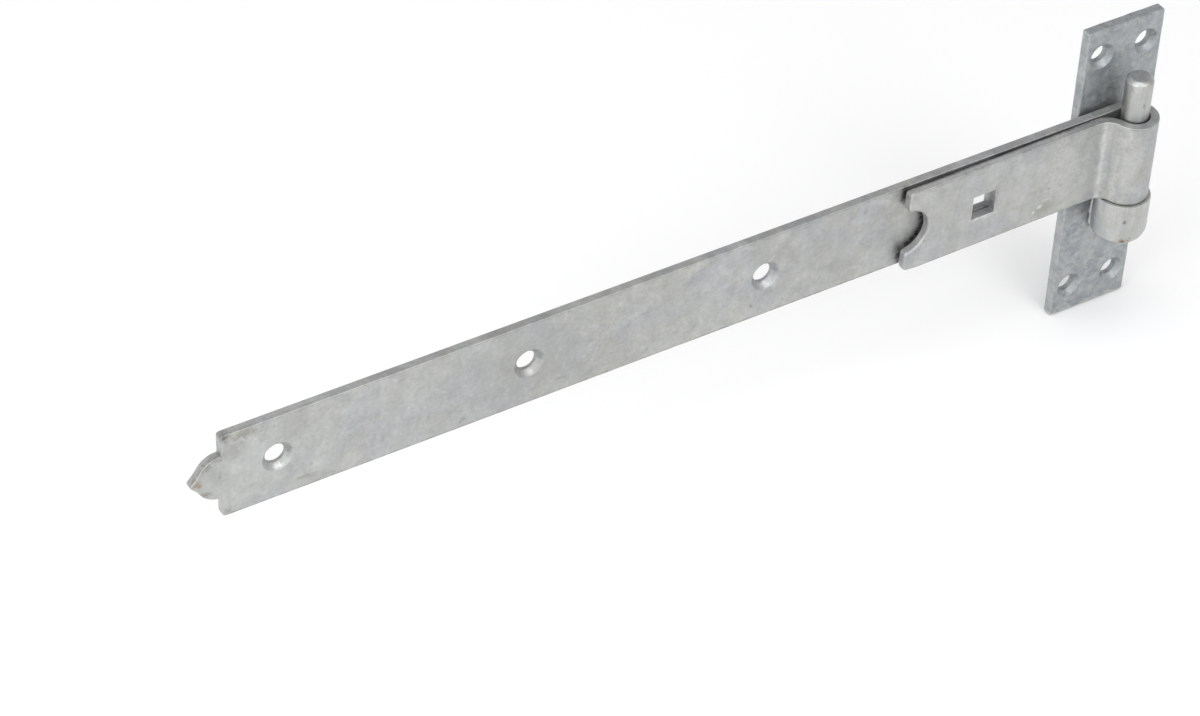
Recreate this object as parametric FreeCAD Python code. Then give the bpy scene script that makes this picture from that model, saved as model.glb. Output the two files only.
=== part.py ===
import FreeCAD, Part
import math
import os

# Hook and band gate hinge: a strap folded round an eye, and a pin with a boss welded to a plate.
# Lengths are millimetres. The origin is the middle of the plate's back face.
# +Z runs up the pin, -Y is the front, and the band lies along -X with the gate closed.

# Pin and boss
pin_diameter = 12.0
pin_length = 60.0           # free length above the boss
pin_top_chamfer = 1.6
boss_diameter = 24.0
boss_height = 21.0
boss_top_chamfer = 0.8
boss_foot_chamfer = 2.4
boss_top_level = -5.0       # the shoulder that carries the eye, from the plate's middle
pin_standoff = 12.5         # pin axis in front of the plate's front face
weld_width = 11.0
weld_leg = 4.0
weld_top_drop = 2.5         # the weld stops this far below the shoulder

# Plate
plate_width = 40.0
plate_height = 150.0
plate_thickness = 5.0
plate_corner_radius = 1.0
plate_hole_diameter = 7.5
plate_countersink_diameter = 12.2
plate_hole_spacing_across = 23.0
plate_hole_spacing_up = 122.0

# Band
band_length = 450.0         # from the outside of the eye to the point of the tip
band_width = 40.0
band_thickness = 4.0
eye_clearance = 0.5         # round the pin
seat_clearance = 0.2        # under the eye, above the boss
layer_gap = 0.8             # between the strap and the folded-back tail, where the tail leaves the neck
neck_bend_radius = 7.0      # hollow side of the bend between the eye and the tail
tail_lean = 0.7             # degrees by which the tail springs away from the strap
tail_reach = 114.0          # from the pin axis to the ends of the tail's prongs
tail_notch_radius = 10.6
tip_lobe_radius = 10.4
tip_point_reach = 3.2       # the point, beyond the round lobe
tip_flare_radius = 20.0     # hollow sides of the point
corner_radius = 1.0
edge_break = 0.5            # bevel along the edges of the strip and the plate
band_hole_diameter = 9.0
band_countersink_diameter = 13.6
band_hole_count = 3
band_hole_pitch = 111.0
band_hole_from_shoulder = 24.0
square_hole_size = 11.4
square_hole_reach = 75.0    # from the pin axis

# Levels and places that follow
cut_margin = band_thickness
eye_bore_radius = pin_diameter / 2 + eye_clearance
eye_outer_radius = eye_bore_radius + band_thickness
plate_front_y = -plate_thickness
pin_axis_y = plate_front_y - pin_standoff
band_bottom_z = boss_top_level + seat_clearance
band_middle_z = band_bottom_z + band_width / 2
band_top_z = band_bottom_z + band_width
strap_back_y = pin_axis_y + eye_outer_radius
strap_front_y = strap_back_y - band_thickness
tail_back_y = strap_front_y - layer_gap
tail_front_y = tail_back_y - band_thickness
tip_length = tip_lobe_radius + tip_point_reach
tip_x = eye_outer_radius - band_length
shoulder_x = tip_x + tip_length


def point(x, y, z):
    return FreeCAD.Vector(x, y, z)


def line(start, end):
    return Part.makeLine(start, end)


def arc(start, middle, end):
    return Part.Arc(start, middle, end).toShape()


def face(edges):
    return Part.Face(Part.Wire(edges))


def round_hole(diameter, countersink_diameter, x, front_y, back_y, z):
    front = point(x, front_y, z)
    inward = point(0, 1, 0)
    radius = diameter / 2
    sink_radius = countersink_diameter / 2
    drill = Part.makeCylinder(radius, back_y - front_y, front, inward)
    sink = Part.makeCone(sink_radius, radius, sink_radius - radius, front, inward)
    return drill.fuse(sink)


def soften_corners(solid, radius, corners):
    # Rounds the edges that run front to back through the given (x, z) corners.
    chosen = []
    for edge in solid.Edges:
        box = edge.BoundBox
        runs_inward = box.YLength > max(box.XLength, box.ZLength)
        for x, z in corners:
            near = math.hypot(box.Center.x - x, box.Center.z - z) < radius / 2
            if runs_inward and near:
                chosen.append(edge)
    return solid.makeFillet(radius, chosen)


def break_edges(solid, size):
    # Bevels every sharp edge of a blank, apart from the corners that run front to back.
    chosen = []
    for edge in solid.Edges:
        middle = edge.valueAt((edge.FirstParameter + edge.LastParameter) / 2)
        normals = []
        for side in solid.ancestorsOfType(edge, Part.Face):
            u, v = side.Surface.parameter(middle)
            normals.append(side.normalAt(u, v))
        box = edge.BoundBox
        runs_inward = box.YLength > max(box.XLength, box.ZLength)
        is_sharp = normals[0].getAngle(normals[-1]) > math.pi / 4
        if is_sharp and not runs_inward:
            chosen.append(edge)
    return solid.makeChamfer(size, chosen)


# The strip's section, seen from above, as it is folded round the pin
def folded_strip():
    bend_y = tail_front_y - neck_bend_radius
    bend_drop = bend_y - pin_axis_y
    bend_distance = eye_outer_radius + neck_bend_radius
    bend_x = -math.sqrt(bend_distance ** 2 - bend_drop ** 2)
    bend_angle = math.atan2(bend_drop, bend_x)

    def at(x, y):
        return point(x, y, band_bottom_z)

    def on_eye(radius, angle):
        return at(radius * math.cos(angle), pin_axis_y + radius * math.sin(angle))

    def on_bend(radius, angle):
        return at(bend_x + radius * math.cos(angle), bend_y + radius * math.sin(angle))

    eye_start = math.pi / 2
    eye_end = bend_angle if bend_angle < 0 else bend_angle - 2 * math.pi
    eye_half = (eye_start + eye_end) / 2
    bend_end = math.pi / 2 + math.radians(tail_lean)
    bend_start = eye_end + math.pi
    bend_half = (bend_start + bend_end) / 2
    hollow = neck_bend_radius
    crown = neck_bend_radius + band_thickness

    def tail_end(radius):
        start = on_bend(radius, bend_end)
        run = start.x + tail_reach
        return at(-tail_reach, start.y - run * math.tan(math.radians(tail_lean)))

    corners = {
        "strap_back": at(tip_x, strap_back_y),
        "strap_front": at(tip_x, strap_front_y),
        "tail_front": tail_end(hollow),
        "tail_back": tail_end(crown),
    }
    outside = arc(on_eye(eye_outer_radius, eye_start),
                  on_eye(eye_outer_radius, eye_half),
                  on_eye(eye_outer_radius, eye_end))
    neck_hollow = arc(on_bend(hollow, bend_start), on_bend(hollow, bend_half), on_bend(hollow, bend_end))
    neck_crown = arc(on_bend(crown, bend_end), on_bend(crown, bend_half), on_bend(crown, bend_start))
    bore = arc(on_eye(eye_bore_radius, eye_end),
               on_eye(eye_bore_radius, eye_half),
               on_eye(eye_bore_radius, eye_start))
    section = face([
        line(corners["strap_back"], at(0, strap_back_y)),
        outside,
        neck_hollow,
        line(on_bend(hollow, bend_end), corners["tail_front"]),
        line(corners["tail_front"], corners["tail_back"]),
        line(corners["tail_back"], on_bend(crown, bend_end)),
        neck_crown,
        bore,
        line(at(0, strap_front_y), corners["strap_front"]),
        line(corners["strap_front"], corners["strap_back"]),
    ])
    return section.extrude(point(0, 0, band_width))


# The strip's outline, seen from the front: straight shoulders, a round lobe and a small point
def strip_outline():
    front_y = pin_axis_y - eye_outer_radius - cut_margin
    depth = strap_back_y + cut_margin - front_y
    right_x = eye_outer_radius + cut_margin
    flare_distance = tip_lobe_radius + tip_flare_radius
    flare_square = flare_distance ** 2 + tip_length ** 2 - tip_flare_radius ** 2
    flare_angle = math.acos(flare_square / (2 * flare_distance * tip_length))

    def at(x, z):
        return point(x, front_y, z)

    def on_lobe(angle, side):
        return at(shoulder_x - tip_lobe_radius * math.cos(angle),
                  band_middle_z + side * tip_lobe_radius * math.sin(angle))

    def flare(side):
        centre_x = shoulder_x - flare_distance * math.cos(flare_angle)
        centre_z = band_middle_z + side * flare_distance * math.sin(flare_angle)
        lobe_end = on_lobe(flare_angle, side)
        start = math.atan2(lobe_end.z - centre_z, lobe_end.x - centre_x)
        end = math.atan2(band_middle_z - centre_z, tip_x - centre_x)
        half = (start + end) / 2
        middle = at(centre_x + tip_flare_radius * math.cos(half),
                    centre_z + tip_flare_radius * math.sin(half))
        return arc(lobe_end, middle, at(tip_x, band_middle_z))

    def lobe(side):
        half = (math.pi / 2 + flare_angle) / 2
        return arc(on_lobe(math.pi / 2, side), on_lobe(half, side), on_lobe(flare_angle, side))

    lower = on_lobe(math.pi / 2, -1)
    upper = on_lobe(math.pi / 2, 1)
    outline = face(Part.__sortEdges__([
        line(at(right_x, band_bottom_z), at(shoulder_x, band_bottom_z)),
        line(at(shoulder_x, band_bottom_z), lower),
        lobe(-1),
        flare(-1),
        flare(1),
        lobe(1),
        line(upper, at(shoulder_x, band_top_z)),
        line(at(shoulder_x, band_top_z), at(right_x, band_top_z)),
        line(at(right_x, band_top_z), at(right_x, band_bottom_z)),
    ]))
    return outline.extrude(point(0, depth, 0))


def make_band():
    band = folded_strip().common(strip_outline())
    notch_start = point(-tail_reach, tail_front_y - cut_margin, band_middle_z)
    notch_depth = cut_margin + band_thickness + layer_gap / 2
    notch = Part.makeCylinder(tail_notch_radius, notch_depth, notch_start, point(0, 1, 0))
    square_depth = strap_back_y - tail_front_y + 2 * cut_margin
    square = Part.makeBox(square_hole_size, square_depth, square_hole_size,
                          point(-square_hole_reach - square_hole_size / 2,
                                tail_front_y - cut_margin,
                                band_middle_z - square_hole_size / 2))
    corners = [(tip_x, band_middle_z)]
    for z in (band_bottom_z, band_top_z):
        corners.append((shoulder_x, z))
        corners.append((-tail_reach, z))
    for side in (-1, 1):
        corners.append((-tail_reach, band_middle_z + side * tail_notch_radius))
    band = soften_corners(band.cut(notch), corner_radius, corners)
    band = break_edges(band, edge_break).cut(square)
    for number in range(band_hole_count):
        x = shoulder_x + band_hole_from_shoulder + number * band_hole_pitch
        band = band.cut(round_hole(band_hole_diameter, band_countersink_diameter,
                                   x, strap_front_y, strap_back_y, band_middle_z))
    return band


def make_plate():
    half_width = plate_width / 2
    half_height = plate_height / 2
    plate = Part.makeBox(plate_width, plate_thickness, plate_height,
                         point(-half_width, plate_front_y, -half_height))
    corners = [(x, z) for x in (-half_width, half_width) for z in (-half_height, half_height)]
    plate = break_edges(soften_corners(plate, plate_corner_radius, corners), edge_break)
    for side in (-1, 1):
        for end in (-1, 1):
            plate = plate.cut(round_hole(plate_hole_diameter, plate_countersink_diameter,
                                         side * plate_hole_spacing_across / 2,
                                         plate_front_y, 0,
                                         end * plate_hole_spacing_up / 2))
    return plate


# Pin and boss are turned in one, and a weld joins the boss to the plate
def make_hook_pin():
    boss_bottom_z = boss_top_level - boss_height
    pin_top_z = boss_top_level + pin_length
    pin_radius = pin_diameter / 2
    boss_radius = boss_diameter / 2

    def at(radius, z):
        return point(radius, pin_axis_y, z)

    profile = [
        at(0, boss_bottom_z),
        at(boss_radius - boss_foot_chamfer, boss_bottom_z),
        at(boss_radius, boss_bottom_z + boss_foot_chamfer),
        at(boss_radius, boss_top_level - boss_top_chamfer),
        at(boss_radius - boss_top_chamfer, boss_top_level),
        at(pin_radius, boss_top_level),
        at(pin_radius, pin_top_z - pin_top_chamfer),
        at(pin_radius - pin_top_chamfer, pin_top_z),
        at(0, pin_top_z),
    ]
    half_section = Part.Face(Part.makePolygon(profile + [profile[0]]))
    turned = half_section.revolve(point(0, pin_axis_y, 0), point(0, 0, 1), 360)

    left_x = -weld_width / 2
    weld_outline = [
        point(left_x, plate_front_y, boss_bottom_z - weld_leg),
        point(left_x, plate_front_y - weld_leg, boss_bottom_z),
        point(left_x, pin_axis_y, boss_bottom_z + boss_foot_chamfer),
        point(left_x, pin_axis_y, boss_top_level - weld_top_drop),
        point(left_x, plate_front_y, boss_top_level - weld_top_drop),
    ]
    weld = Part.Face(Part.makePolygon(weld_outline + [weld_outline[0]])).extrude(point(weld_width, 0, 0))
    return turned.fuse(weld).removeSplitter()


os.makedirs("parts", exist_ok=True)
make_band().exportStep("parts/band.step")
make_plate().exportStep("parts/plate.step")
make_hook_pin().exportStep("parts/hook_pin.step")
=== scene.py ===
import bpy
import bmesh
import math
import random
from mathutils import Matrix, Vector, noise


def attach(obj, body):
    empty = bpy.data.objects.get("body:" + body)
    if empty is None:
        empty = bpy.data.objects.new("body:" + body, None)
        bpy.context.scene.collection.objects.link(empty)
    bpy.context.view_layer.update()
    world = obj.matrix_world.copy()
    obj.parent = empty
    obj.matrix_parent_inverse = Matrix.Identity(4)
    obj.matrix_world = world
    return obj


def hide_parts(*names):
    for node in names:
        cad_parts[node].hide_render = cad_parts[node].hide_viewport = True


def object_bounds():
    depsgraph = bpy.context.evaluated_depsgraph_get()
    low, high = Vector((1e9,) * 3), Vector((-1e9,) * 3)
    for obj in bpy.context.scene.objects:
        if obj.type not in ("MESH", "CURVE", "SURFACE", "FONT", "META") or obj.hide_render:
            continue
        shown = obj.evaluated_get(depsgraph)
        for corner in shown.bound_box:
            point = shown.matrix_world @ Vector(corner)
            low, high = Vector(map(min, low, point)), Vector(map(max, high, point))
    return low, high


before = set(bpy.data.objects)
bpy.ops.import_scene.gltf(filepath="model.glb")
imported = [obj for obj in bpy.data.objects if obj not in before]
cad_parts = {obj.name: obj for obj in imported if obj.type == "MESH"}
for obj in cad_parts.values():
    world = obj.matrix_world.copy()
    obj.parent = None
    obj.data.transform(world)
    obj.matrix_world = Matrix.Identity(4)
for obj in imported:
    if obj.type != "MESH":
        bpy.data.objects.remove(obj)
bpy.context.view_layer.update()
scene = bpy.context.scene
scene.view_settings.view_transform = "Standard"
mm = 0.001
print("frame loaded:", ", ".join(sorted(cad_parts)))


# mesh helpers, all in millimetres until a piece is finished
def arcPoints(centre, radius, startAngle, endAngle, steps):
    points = []
    for i in range(steps + 1):
        angle = startAngle + (endAngle - startAngle) * i / steps
        points.append((centre[0] + radius * math.cos(angle), centre[1] + radius * math.sin(angle)))
    return points


def roundedPoint(before, corner, after, reach, steps):
    # a blunt nose in place of a sharp corner
    start = Vector(corner) + (Vector(before) - Vector(corner)).normalized() * reach
    end = Vector(corner) + (Vector(after) - Vector(corner)).normalized() * reach
    points = []
    for i in range(steps + 1):
        t = i / steps
        p = start * (1 - t) ** 2 + Vector(corner) * 2 * t * (1 - t) + end * t ** 2
        points.append((p.x, p.y))
    return points


def objectFrom(bm, name):
    bmesh.ops.recalc_face_normals(bm, faces=bm.faces)
    mesh = bpy.data.meshes.new(name)
    bm.to_mesh(mesh)
    bm.free()
    piece = bpy.data.objects.new(name, mesh)
    scene.collection.objects.link(piece)
    return piece


def skinRings(bm, rings):
    # closed form through rings of equal count
    made = [[bm.verts.new(place) for place in ring] for ring in rings]
    count = len(rings[0])
    for lower, upper in zip(made, made[1:]):
        for i in range(count):
            j = (i + 1) % count
            bm.faces.new((lower[i], lower[j], upper[j], upper[i]))
    bm.faces.new(made[0])
    bm.faces.new(made[-1])


def loft(name, rings):
    bm = bmesh.new()
    skinRings(bm, rings)
    return objectFrom(bm, name)


def prism(name, outline, low, high, upright):
    # upright: a plan outline drawn out along z, otherwise a front outline drawn out along y
    rings = []
    for level in (low, high):
        rings.append([(a, b, level) if upright else (a, level, b) for a, b in outline])
    return loft(name, rings)


def roundedRim(thickness, frontRound, backRound, frontPast, backPast):
    # depths below a sheet's front face, each with how far a worn outline is set in there
    clear, shy = 0.25, 0.05  # just outside the sheet the outline steps in a little more

    def half(radius, past):
        steps = [(-past, radius + clear), (-shy, radius + clear)]
        for degrees in (22.5, 45.0, 67.5, 90.0):
            turn = math.radians(degrees)
            steps.append((radius * (1 - math.cos(turn)), radius * (1 - math.sin(turn))))
        return steps

    back = [(thickness - depth, inset) for depth, inset in reversed(half(backRound, backPast))]
    return half(frontRound, frontPast) + back


def turnedAlongY(bm, x, z, profile, steps):
    # closed lathe form about a front-to-back axis
    turns = [2 * math.pi * i / steps for i in range(steps)]
    rings = []
    for radius, y in profile:
        rings.append([(x + radius * math.cos(turn), y, z + radius * math.sin(turn)) for turn in turns])
    skinRings(bm, rings)


def screwHole(bm, x, z, front, back, hole, sink):
    past, steps = 1.5, 64  # the drill starts before the front face and ends behind the back
    depth = (sink - hole) / 2
    profile = [(sink / 2 + past, front - past), (hole / 2, front + depth), (hole / 2, back + past)]
    turnedAlongY(bm, x, z, profile, steps)


def applyModifiers(piece):
    shaped = bpy.data.meshes.new_from_object(piece.evaluated_get(bpy.context.evaluated_depsgraph_get()))
    before = piece.data
    piece.modifiers.clear()
    piece.data = shaped
    bpy.data.meshes.remove(before)


def carve(piece, tool, how):
    cut = piece.modifiers.new("carve", "BOOLEAN")
    cut.operation = how
    cut.object = tool
    cut.solver = "EXACT"
    applyModifiers(piece)
    bpy.data.objects.remove(tool)


def softenEdges(piece, width, share, cuts):
    # share(edge middle) says how much of the full width an edge gets
    # the cuts across x leave no face with a hole in it
    mesh = piece.data
    bm = bmesh.new()
    bm.from_mesh(mesh)
    bmesh.ops.remove_doubles(bm, verts=bm.verts, dist=0.01)
    for x in cuts:
        every = bm.verts[:] + bm.edges[:] + bm.faces[:]
        made = bmesh.ops.bisect_plane(bm, geom=every, dist=0.005, plane_co=(x, 0, 0), plane_no=(1, 0, 0))
        for part in made["geom_cut"]:
            if isinstance(part, bmesh.types.BMEdge):
                part.seam = True
    flat, sharp = math.radians(0.4), math.radians(32)
    bmesh.ops.dissolve_limit(bm, angle_limit=flat, verts=bm.verts, edges=bm.edges, delimit={"SEAM"})
    layers = bm.edges.layers.float
    weight = layers.get("bevel_weight_edge") or layers.new("bevel_weight_edge")
    for edge in bm.edges:
        if len(edge.link_faces) == 2 and edge.calc_face_angle() > sharp:
            edge[weight] = share((edge.verts[0].co + edge.verts[1].co) / 2)
    bm.to_mesh(mesh)
    bm.free()
    bevel = piece.modifiers.new("soft edges", "BEVEL")
    bevel.limit_method = "WEIGHT"
    bevel.width = width
    bevel.segments = 3
    bevel.use_clamp_overlap = False
    applyModifiers(piece)


def finishPiece(piece, body, node, material):
    mesh = piece.data
    mesh.transform(Matrix.Scale(mm, 4))
    mesh.shade_smooth()
    mesh.set_sharp_from_angle(angle=math.radians(38))
    even = piece.modifiers.new("even shading", "WEIGHTED_NORMAL")
    even.keep_sharp = True
    mesh.materials.clear()
    mesh.materials.append(material)
    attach(piece, body)
    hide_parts(node)
    print("made", piece.name, len(mesh.polygons), "faces")


# node helpers
def addNode(tree, kind, **settings):
    made = tree.nodes.new(kind)
    for key, value in settings.items():
        setattr(made, key, value)
    return made


def join(tree, output, target):
    tree.links.new(output, target)


def newGroup(name, inputs, outputs):
    group = bpy.data.node_groups.new(name, "ShaderNodeTree")
    for label, kind, start in inputs:
        socket = group.interface.new_socket(name=label, in_out="INPUT", socket_type="NodeSocket" + kind)
        if start is not None:
            socket.default_value = start
    for label, kind in outputs:
        group.interface.new_socket(name=label, in_out="OUTPUT", socket_type="NodeSocket" + kind)
    return group, group.nodes.new("NodeGroupInput"), group.nodes.new("NodeGroupOutput")


def useGroup(tree, group, **values):
    made = tree.nodes.new("ShaderNodeGroup")
    made.node_tree = group
    for key, value in values.items():
        made.inputs[key].default_value = value
    return made


def math2(tree, how, a, b):
    made = addNode(tree, "ShaderNodeMath", operation=how)
    for socket, value in zip(made.inputs, (a, b)):
        if isinstance(value, (int, float)):
            socket.default_value = value
        else:
            join(tree, value, socket)
    return made.outputs[0]


def noiseAt(tree, where, scale, detail, rough=0.5, bend=0.0):
    made = addNode(tree, "ShaderNodeTexNoise")
    made.inputs["Detail"].default_value = detail
    made.inputs["Roughness"].default_value = rough
    made.inputs["Distortion"].default_value = bend
    if isinstance(scale, (int, float)):
        made.inputs["Scale"].default_value = scale
    else:
        join(tree, scale, made.inputs["Scale"])
    join(tree, where, made.inputs["Vector"])
    return made.outputs["Fac"]


def stepBetween(tree, value, low, high):
    made = addNode(tree, "ShaderNodeMapRange", interpolation_type="SMOOTHSTEP")
    made.inputs["From Min"].default_value = low
    made.inputs["From Max"].default_value = high
    join(tree, value, made.inputs["Value"])
    return made.outputs["Result"]


def opaque(colour):
    return (*colour, 1.0)


def blendColour(tree, share, a, b):
    made = addNode(tree, "ShaderNodeMix", data_type="RGBA")
    join(tree, share, made.inputs[0])
    for socket, value in ((made.inputs[6], a), (made.inputs[7], b)):
        if isinstance(value, tuple):
            socket.default_value = opaque(value)
        else:
            join(tree, value, socket)
    return made.outputs[2]


def scaleColour(tree, colour, factor):
    made = addNode(tree, "ShaderNodeVectorMath", operation="SCALE")
    join(tree, colour, made.inputs[0])
    join(tree, factor, made.inputs["Scale"])
    return made.outputs[0]


def movedWhere(tree, how, where, amounts):
    made = addNode(tree, "ShaderNodeVectorMath", operation=how)
    made.inputs[1].default_value = amounts
    join(tree, where, made.inputs[0])
    return made.outputs[0]


def shiftWhere(tree, where, offset):
    return movedWhere(tree, "ADD", where, offset)


def stretchWhere(tree, where, factors):
    return movedWhere(tree, "MULTIPLY", where, factors)


# zinc effects shared by the pieces
def zincBloomGroup():
    # soft cool and warm patches with a finer mottle
    group, source, result = newGroup("zincBloom", [
        ("Where", "Vector", None), ("Patches", "Float", 40.0), ("Base", "Color", None),
        ("Cool", "Color", None), ("Warm", "Color", None), ("Mottle", "Float", 0.2)],
        [("Colour", "Color"), ("Tone", "Float")])
    where, size = source.outputs["Where"], source.outputs["Patches"]
    coolMask = stepBetween(group, noiseAt(group, where, size, 4, bend=0.7), 0.40, 0.63)
    warmPlace = shiftWhere(group, where, (3.1, 1.7, 5.3))
    warmSize = math2(group, "MULTIPLY", size, 1.7)
    warmMask = stepBetween(group, noiseAt(group, warmPlace, warmSize, 4, bend=0.7), 0.45, 0.68)
    mixed = blendColour(group, coolMask, source.outputs["Base"], source.outputs["Cool"])
    mixed = blendColour(group, warmMask, mixed, source.outputs["Warm"])
    cloudPlace = shiftWhere(group, where, (7.7, 2.2, 0.4))
    cloud = noiseAt(group, cloudPlace, math2(group, "MULTIPLY", size, 4.0), 4, 0.6, 0.5)
    grain = noiseAt(group, where, math2(group, "MULTIPLY", size, 15.0), 3, 0.6)
    swing = math2(group, "ADD", math2(group, "MULTIPLY", cloud, 0.7), math2(group, "MULTIPLY", grain, 0.4))
    swing = math2(group, "SUBTRACT", swing, 0.55)
    tone = math2(group, "ADD", math2(group, "MULTIPLY", swing, source.outputs["Mottle"]), 1.0)
    join(group, scaleColour(group, mixed, tone), result.inputs["Colour"])
    join(group, swing, result.inputs["Tone"])
    return group


def spangleGroup():
    # faint crystal patches of dipped zinc, with wandering borders
    group, source, result = newGroup("spangle", [
        ("Where", "Vector", None), ("Crystals", "Float", 240.0), ("Contrast", "Float", 0.2)],
        [("Tone", "Float")])
    where = source.outputs["Where"]
    wander = addNode(group, "ShaderNodeTexNoise")
    wander.inputs["Scale"].default_value = 320.0
    wander.inputs["Detail"].default_value = 3
    join(group, where, wander.inputs["Vector"])
    push = addNode(group, "ShaderNodeVectorMath", operation="MULTIPLY_ADD")
    join(group, wander.outputs["Color"], push.inputs[0])
    push.inputs[1].default_value = (0.006, 0.006, 0.006)
    join(group, where, push.inputs[2])
    cells = addNode(group, "ShaderNodeTexVoronoi", feature="SMOOTH_F1")
    cells.inputs["Smoothness"].default_value = 0.45
    join(group, source.outputs["Crystals"], cells.inputs["Scale"])
    join(group, push.outputs[0], cells.inputs["Vector"])
    split = addNode(group, "ShaderNodeSeparateColor")
    join(group, cells.outputs["Color"], split.inputs[0])
    swing = math2(group, "SUBTRACT", split.outputs[0], 0.5)
    tone = math2(group, "ADD", math2(group, "MULTIPLY", swing, source.outputs["Contrast"]), 1.0)
    join(group, tone, result.inputs["Tone"])
    return group


def darkSpecksGroup():
    # clustered pin-head specks
    group, source, result = newGroup("darkSpecks", [
        ("Where", "Vector", None), ("Fineness", "Float", 600.0), ("Amount", "Float", 0.5)],
        [("Mask", "Float")])
    where = source.outputs["Where"]
    speck = stepBetween(group, noiseAt(group, where, source.outputs["Fineness"], 2), 0.64, 0.72)
    clusterPlace = shiftWhere(group, where, (2.3, 9.1, 4.4))
    cluster = stepBetween(group, noiseAt(group, clusterPlace, 60.0, 3), 0.46, 0.66)
    mask = math2(group, "MULTIPLY", math2(group, "MULTIPLY", speck, cluster), source.outputs["Amount"])
    join(group, mask, result.inputs["Mask"])
    return group


def raggedSpotGroup():
    # a spot round one place, with a broken edge, for stains and for painted shade and highlights
    group, source, result = newGroup("raggedSpot", [
        ("Where", "Vector", None), ("Centre", "Vector", None), ("Spread", "Vector", None),
        ("Amount", "Float", 0.5)], [("Mask", "Float")])
    offset = addNode(group, "ShaderNodeVectorMath", operation="SUBTRACT")
    join(group, source.outputs["Where"], offset.inputs[0])
    join(group, source.outputs["Centre"], offset.inputs[1])
    shrink = addNode(group, "ShaderNodeVectorMath", operation="DIVIDE")
    join(group, offset.outputs[0], shrink.inputs[0])
    join(group, source.outputs["Spread"], shrink.inputs[1])
    away = addNode(group, "ShaderNodeVectorMath", operation="LENGTH")
    join(group, shrink.outputs[0], away.inputs[0])
    torn = math2(group, "MULTIPLY", noiseAt(group, source.outputs["Where"], 600.0, 5, 0.7), 1.9)
    fade = stepBetween(group, math2(group, "ADD", away.outputs["Value"], torn), 1.75, 0.85)
    join(group, math2(group, "MULTIPLY", fade, source.outputs["Amount"]), result.inputs["Mask"])
    return group


def edgeWearAndShadeGroup():
    # a broken line along a straight edge, at one level in one direction, for wear and for painted shade
    group, source, result = newGroup("edgeWearAndShade", [
        ("Where", "Vector", None), ("Direction", "Vector", None), ("Level", "Float", 0.0),
        ("Reach", "Float", 0.001), ("Amount", "Float", 0.5)], [("Mask", "Float")])
    along = addNode(group, "ShaderNodeVectorMath", operation="DOT_PRODUCT")
    join(group, source.outputs["Where"], along.inputs[0])
    join(group, source.outputs["Direction"], along.inputs[1])
    offset = math2(group, "SUBTRACT", along.outputs["Value"], source.outputs["Level"])
    away = math2(group, "ABSOLUTE", offset, 0.0)
    near = math2(group, "DIVIDE", away, source.outputs["Reach"])
    torn = math2(group, "MULTIPLY", noiseAt(group, source.outputs["Where"], 210.0, 5, 0.65), 2.2)
    fade = stepBetween(group, math2(group, "ADD", near, torn), 1.55, 0.85)
    join(group, math2(group, "MULTIPLY", fade, source.outputs["Amount"]), result.inputs["Mask"])
    return group


def uprightRunsGroup():
    # zinc that ran down while it set
    group, source, result = newGroup("uprightRuns", [
        ("Where", "Vector", None), ("Fineness", "Float", 300.0)], [("Mask", "Float")])
    run = stretchWhere(group, source.outputs["Where"], (1.0, 1.0, 0.09))
    streak = noiseAt(group, run, source.outputs["Fineness"], 3, 0.6)
    join(group, stepBetween(group, streak, 0.36, 0.66), result.inputs["Mask"])
    return group


def zincSkinGroup():
    # low waves and fine grain of a dipped surface
    group, source, result = newGroup("zincSkin", [
        ("Where", "Vector", None), ("Waves", "Float", 0.6), ("Grain", "Float", 0.4)], [("Height", "Float")])
    where = source.outputs["Where"]
    waves = math2(group, "MULTIPLY", noiseAt(group, where, 150.0, 3), source.outputs["Waves"])
    grain = math2(group, "MULTIPLY", noiseAt(group, where, 1000.0, 3, 0.6), source.outputs["Grain"])
    join(group, math2(group, "ADD", waves, grain), result.inputs["Height"])
    return group


zincBloom = zincBloomGroup()
spangle = spangleGroup()
darkSpecks = darkSpecksGroup()
raggedSpot = raggedSpotGroup()
edgeWearAndShade = edgeWearAndShadeGroup()
uprightRuns = uprightRunsGroup()
zincSkin = zincSkinGroup()


def inMetres(place):
    return [c * mm for c in place]


def stainAndPaintedLightAt(at, spread, amount, colour):
    # for stains and for painted shade and highlights; place and spread along x, y and z in millimetres
    return {"at": at, "spread": spread, "amount": amount, "colour": colour}


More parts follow.
